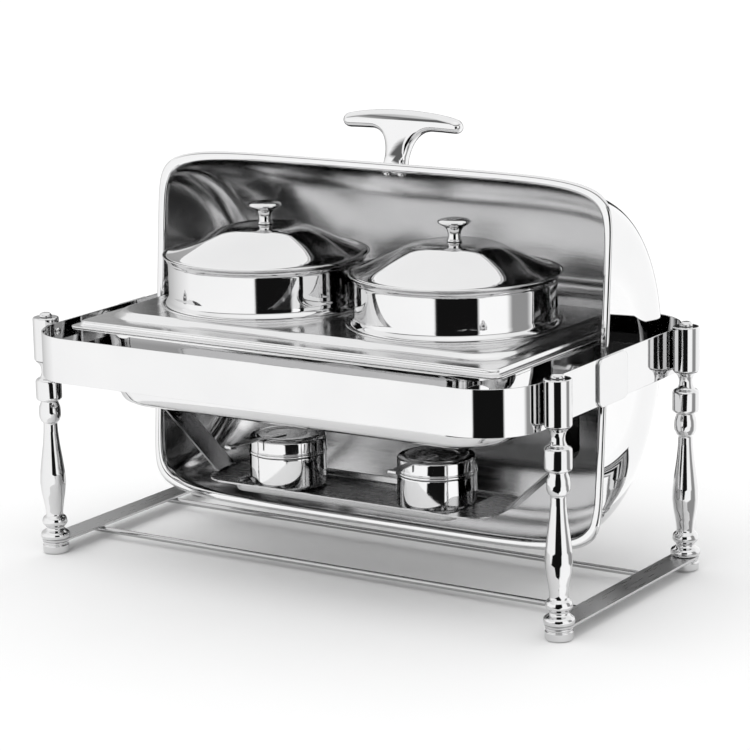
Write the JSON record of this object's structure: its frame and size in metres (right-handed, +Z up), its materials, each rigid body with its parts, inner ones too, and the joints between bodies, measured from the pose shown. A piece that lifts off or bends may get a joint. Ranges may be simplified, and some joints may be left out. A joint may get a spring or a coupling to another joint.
{
  "type": "roll top chafer",
  "caption": "Roll top chafer: a domed cover rolls back on end pivots over a water pan and adapter plate with lidded soup pots, on a stand with turned legs and a burner tray.",
  "frame": {"origin": "on the table, midway between the four feet; the pivot axis lies above it along X", "axes": "+X along the long side to the right as seen from the front, +Y to the back, +Z up"},
  "size_m": [0.665, 0.404, 0.4771],
  "materials": {
    "polished_steel": "mirror-polished stainless steel",
    "satin_steel": "satin stainless sheet with a fine grain",
    "plain_steel": "plain stainless steel, lightly brushed"
  },
  "bodies": {
    "stand": {"band_screw_front_left": "polished_steel", "band_screw_front_right": "polished_steel", "band_screw_rear_left": "polished_steel", "band_screw_rear_right": "polished_steel", "cross_rod_front": "polished_steel", "cross_rod_rear": "polished_steel", "foot_ferrule_front_left": "polished_steel", "foot_ferrule_front_right": "polished_steel", "foot_ferrule_rear_left": "polished_steel", "foot_ferrule_rear_right": "polished_steel", "frame_band": "polished_steel", "fuel_tray": "satin_steel", "hanger_rivet_left": "polished_steel", "hanger_rivet_right": "polished_steel", "leg_cap_screw_front_left": "polished_steel", "leg_cap_screw_front_right": "polished_steel", "leg_cap_screw_rear_left": "polished_steel", "leg_cap_screw_rear_right": "polished_steel", "leg_head_front_left": "polished_steel", "leg_head_front_right": "polished_steel", "leg_head_rear_left": "polished_steel", "leg_head_rear_right": "polished_steel", "leg_post_front_left": "polished_steel", "leg_post_front_right": "polished_steel", "leg_post_rear_left": "polished_steel", "leg_post_rear_right": "polished_steel", "pan_bracket_left": "satin_steel", "pan_bracket_right": "satin_steel", "pivot_bush_left": "polished_steel", "pivot_bush_right": "polished_steel", "pivot_cover_plate_left": "polished_steel", "pivot_cover_plate_right": "polished_steel", "pivot_nut_left": "polished_steel", "pivot_nut_right": "polished_steel", "pivot_shaft_left": "plain_steel", "pivot_shaft_right": "plain_steel", "side_bar_left": "satin_steel", "side_bar_right": "satin_steel"},
    "cover": {"cover_shell": "polished_steel", "cover_handle": "polished_steel", "cover_arm_left": "polished_steel", "cover_arm_right": "polished_steel", "handle_screw_left": "polished_steel", "handle_screw_right": "polished_steel"},
    "water_pan": {"water_pan": "polished_steel"},
    "adapter_plate": {"adapter_plate": "satin_steel"},
    "pot_left": {"pot_left": "polished_steel"},
    "lid_left": {"lid_left": "polished_steel", "lid_knob_left": "polished_steel", "knob_screw_left": "polished_steel"},
    "burner_left": {"burner_body_left": "polished_steel"},
    "burner_cap_left": {"burner_cap_left": "polished_steel"},
    "burner_damper_left": {"burner_damper_left": "plain_steel"},
    "pot_right": {"pot_right": "polished_steel"},
    "lid_right": {"lid_right": "polished_steel", "lid_knob_right": "polished_steel", "knob_screw_right": "polished_steel"},
    "burner_right": {"burner_body_right": "polished_steel"},
    "burner_cap_right": {"burner_cap_right": "polished_steel"},
    "burner_damper_right": {"burner_damper_right": "plain_steel"}
  },
  "joints": [
    {"name": "cover_roll", "type": "hinge", "parent": "stand", "child": "cover", "pos_m": [0, 0, 0.235], "axis": [-1, 0, 0], "range_deg": [-94.84, 45]},
    {"name": "water_pan_lift", "type": "slide", "parent": "stand", "child": "water_pan", "axis": [0, -0.5, 0.866], "range_m": [0, 0.09]},
    {"name": "adapter_plate_lift", "type": "slide", "parent": "water_pan", "child": "adapter_plate", "axis": [0, -0.5, 0.866], "range_m": [0, 0.09]},
    {"name": "pot_left_lift", "type": "slide", "parent": "adapter_plate", "child": "pot_left", "axis": [0, 0, 1], "range_m": [0, 0.05]},
    {"name": "lid_left_lift", "type": "slide", "parent": "pot_left", "child": "lid_left", "axis": [0, -0.7071, 0.7071], "range_m": [0, 0.3]},
    {"name": "burner_left_lift", "type": "slide", "parent": "stand", "child": "burner_left", "axis": [0, 0, 1], "range_m": [0, 0.035]},
    {"name": "burner_cap_left_lift", "type": "slide", "parent": "burner_left", "child": "burner_cap_left", "axis": [0, 0, 1], "range_m": [0, 0.03]},
    {"name": "damper_left_turn", "type": "hinge", "parent": "burner_cap_left", "child": "burner_damper_left", "pos_m": [-0.095, -0.003, 0.13], "axis": [0, 0, -1], "range_deg": [0, 90]},
    {"name": "pot_right_lift", "type": "slide", "parent": "adapter_plate", "child": "pot_right", "axis": [0, 0, 1], "range_m": [0, 0.05]},
    {"name": "lid_right_lift", "type": "slide", "parent": "pot_right", "child": "lid_right", "axis": [0, -0.7071, 0.7071], "range_m": [0, 0.3]},
    {"name": "burner_right_lift", "type": "slide", "parent": "stand", "child": "burner_right", "axis": [0, 0, 1], "range_m": [0, 0.035]},
    {"name": "burner_cap_right_lift", "type": "slide", "parent": "burner_right", "child": "burner_cap_right", "axis": [0, 0, 1], "range_m": [0, 0.03]},
    {"name": "damper_right_turn", "type": "hinge", "parent": "burner_cap_right", "child": "burner_damper_right", "pos_m": [0.095, -0.003, 0.13], "axis": [0, 0, 1], "range_deg": [0, 90]}
  ]
}
